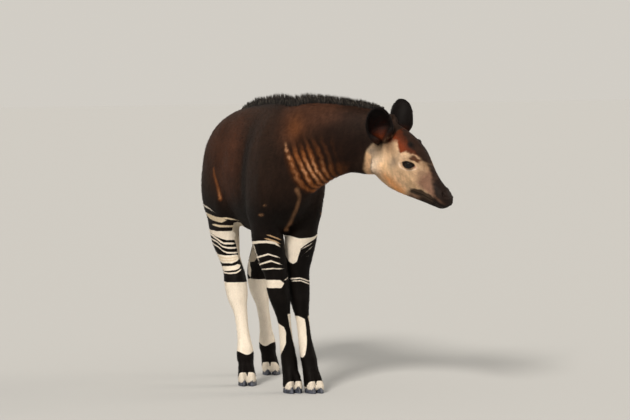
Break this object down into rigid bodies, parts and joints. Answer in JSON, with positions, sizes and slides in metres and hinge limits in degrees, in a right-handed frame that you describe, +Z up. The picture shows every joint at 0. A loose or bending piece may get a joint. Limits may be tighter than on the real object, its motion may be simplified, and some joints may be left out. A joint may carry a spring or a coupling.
{
  "type": "okapi calf",
  "caption": "Life-size still model of a standing okapi calf, its neck held level and turned to its left, with cupped ears, a short upright mane and striped upper legs.",
  "frame": {"origin": "middle of the box round the whole calf, at the level of its soles", "axes": "+Z up, -Y the way its chest faces, +X its left side; its rump and tail are towards +Y"},
  "size_m": [0.634, 1.2496, 1.1461],
  "materials": {
    "body_coat": "short flat dark brown hair with a soft sheen",
    "neck_coat": "short flat reddish brown hair over loose skin folds",
    "face_coat": "very short pale hair, dark and bare at the nose",
    "ear_coat": "short black hair, reddish brown inside",
    "foreleg_coat": "short black hair with white stripes",
    "hindleg_coat": "short white hair with black stripes and bands",
    "eye": "wet, dark brown",
    "hoof_horn": "dull blue-grey horn with fine rings"
  },
  "bodies": {
    "root": {"head": "face_coat", "neck": "neck_coat", "torso": "body_coat", "tail": "body_coat", "ear_right": "ear_coat", "ear_left": "ear_coat", "eye_right": "eye", "eye_left": "eye", "foreleg_right_upper": "foreleg_coat", "foreleg_right_lower": "foreleg_coat", "foreleg_left_upper": "foreleg_coat", "foreleg_left_lower": "foreleg_coat", "hindleg_right_upper": "hindleg_coat", "hindleg_right_lower": "hindleg_coat", "hindleg_left_upper": "hindleg_coat", "hindleg_left_lower": "hindleg_coat", "hoof_fore_right_right_claw": "hoof_horn", "hoof_fore_right_left_claw": "hoof_horn", "hoof_fore_left_right_claw": "hoof_horn", "hoof_fore_left_left_claw": "hoof_horn", "hoof_hind_right_right_claw": "hoof_horn", "hoof_hind_right_left_claw": "hoof_horn", "hoof_hind_left_right_claw": "hoof_horn", "hoof_hind_left_left_claw": "hoof_horn"}
  },
  "joints": []
}
